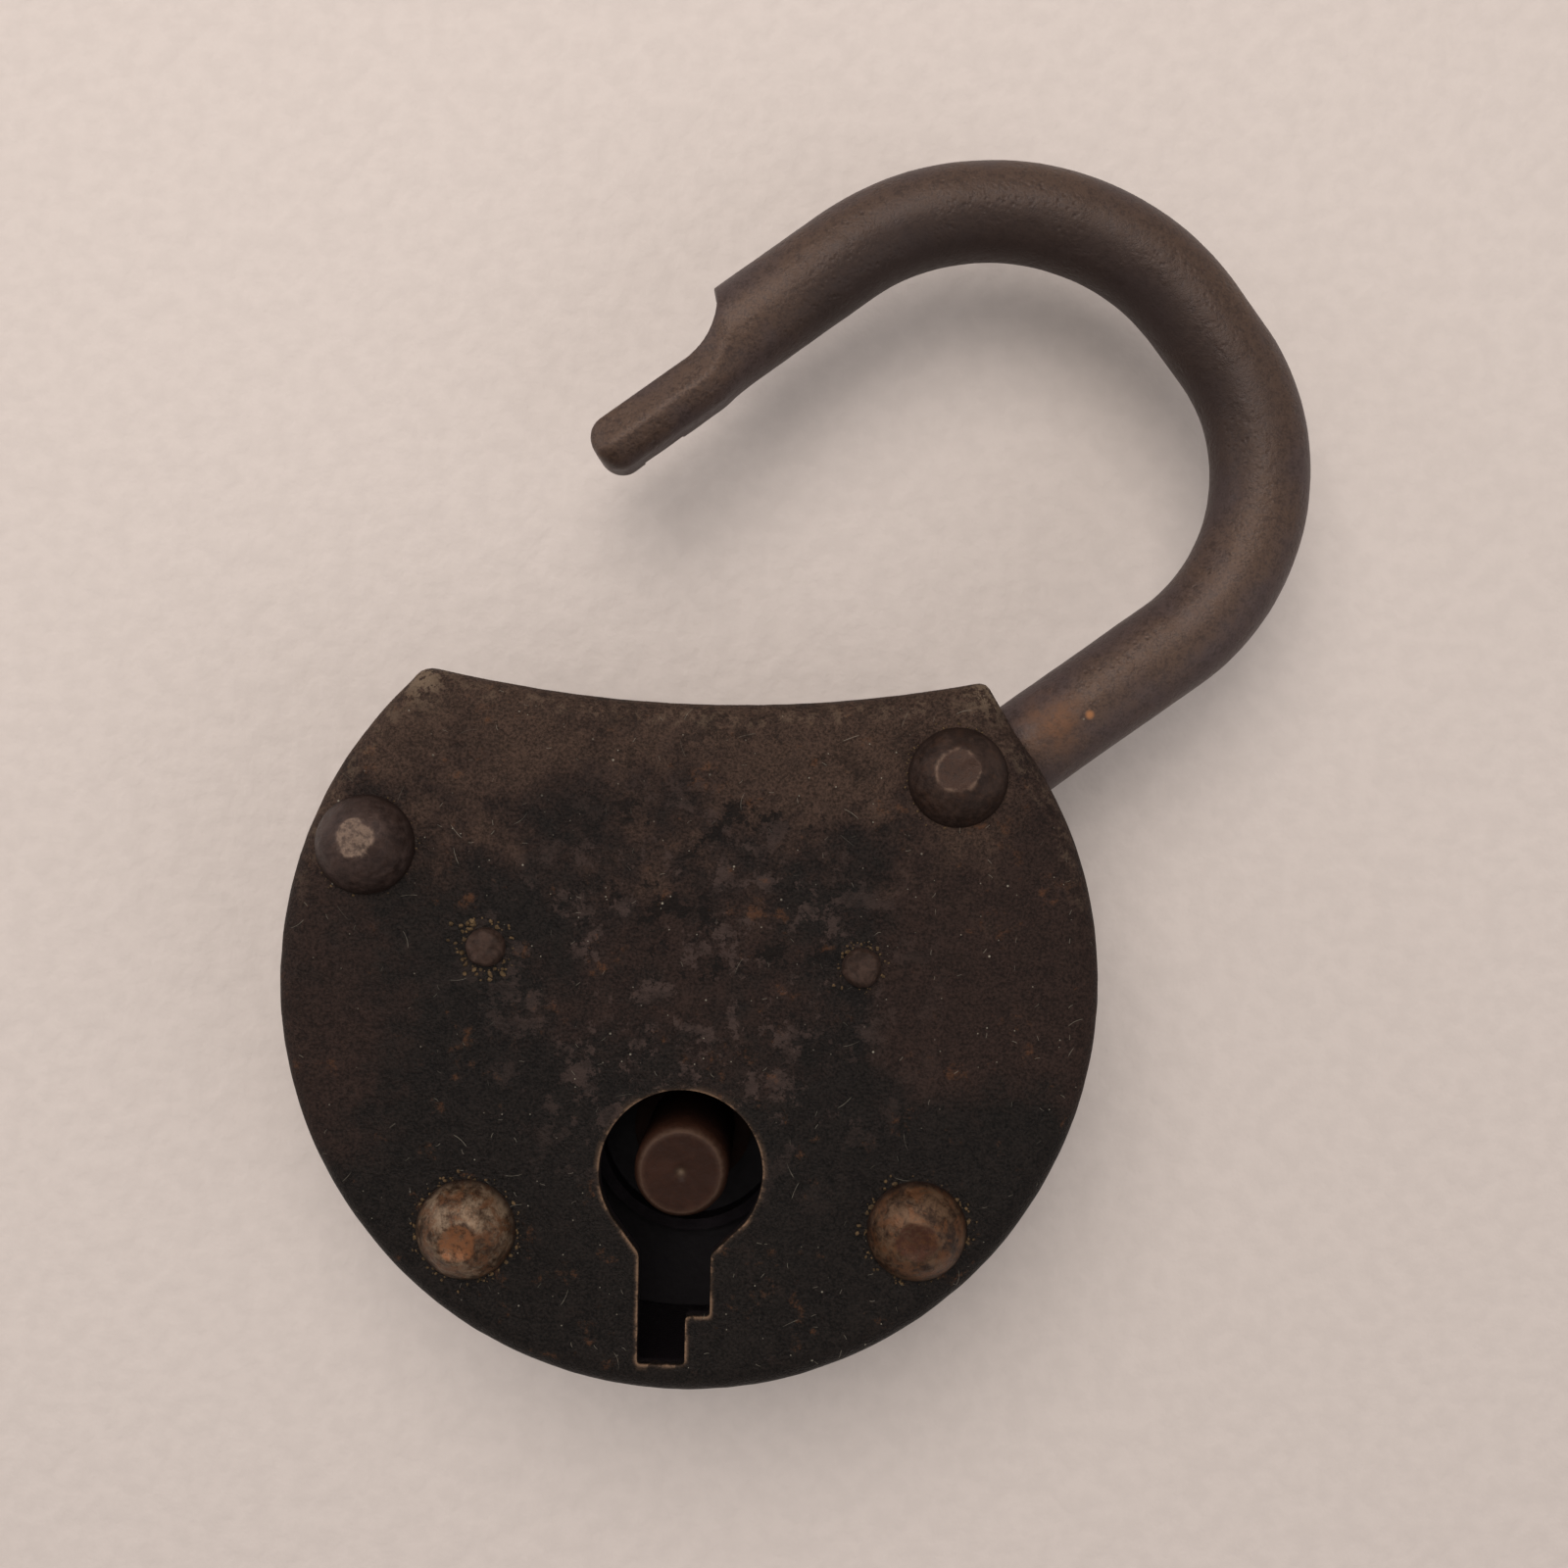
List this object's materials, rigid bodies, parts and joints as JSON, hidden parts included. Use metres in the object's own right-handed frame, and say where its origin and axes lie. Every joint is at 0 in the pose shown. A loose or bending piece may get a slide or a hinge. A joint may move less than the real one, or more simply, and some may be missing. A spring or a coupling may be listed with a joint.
{
  "type": "padlock",
  "caption": "Old rusty padlock with a round pressed steel case, domed rivets, a keyhole with a thick post, and a thick round shackle that swings open on its side rivet.",
  "frame": {"origin": "centre of the round case in plan, on the plane that the padlock lies on, at the tips of its back rivet heads", "axes": "+Z out of the front face with the keyhole, +Y towards the hollow top edge, +X towards the shackle's pivot"},
  "size_m": [0.1053, 0.1272, 0.0312],
  "materials": {
    "case_face": "worn black paint over brown rust, dull, with bright worn edges",
    "back_plate": "worn black paint over brown rust, dull",
    "shackle_bar": "smooth brown-grey forged steel with rust patches",
    "rivet_upper": "grey-brown, worn smooth",
    "rivet_lower": "orange-brown rust with shiny worn patches",
    "guide_pin": "brown rust",
    "key_post": "brown, with a brighter worn chamfer",
    "bolt": "dark rust",
    "inner_iron": "dark rust",
    "leaf_spring": "dark spring steel"
  },
  "bodies": {
    "case": {"front_case": "case_face", "back_plate": "back_plate", "pivot_rivet": "rivet_upper", "rivet_upper_left": "rivet_upper", "rivet_lower_left": "rivet_lower", "rivet_lower_right": "rivet_lower", "sleeve_upper_left": "inner_iron", "sleeve_lower_left": "inner_iron", "sleeve_lower_right": "inner_iron", "pivot_spacer_back": "inner_iron", "pivot_spacer_front": "inner_iron", "guide_pin_left": "guide_pin", "guide_pin_right": "guide_pin", "guide_sleeve_left": "inner_iron", "guide_sleeve_right": "inner_iron", "key_post": "key_post", "ward_ring": "inner_iron", "leaf_spring": "leaf_spring", "spring_pin": "inner_iron"},
    "shackle": {"shackle": "shackle_bar"},
    "bolt": {"bolt": "bolt"}
  },
  "joints": [
    {"name": "shackle_swing", "type": "hinge", "parent": "case", "child": "shackle", "pos_m": [0.0263, 0.0207, 0.0156], "axis": [0, 0, 1], "range_deg": [-6, 53.8]},
    {"name": "bolt_slide", "type": "slide", "parent": "case", "child": "bolt", "axis": [-1, 0, 0], "range_m": [0, 0.004]}
  ]
}
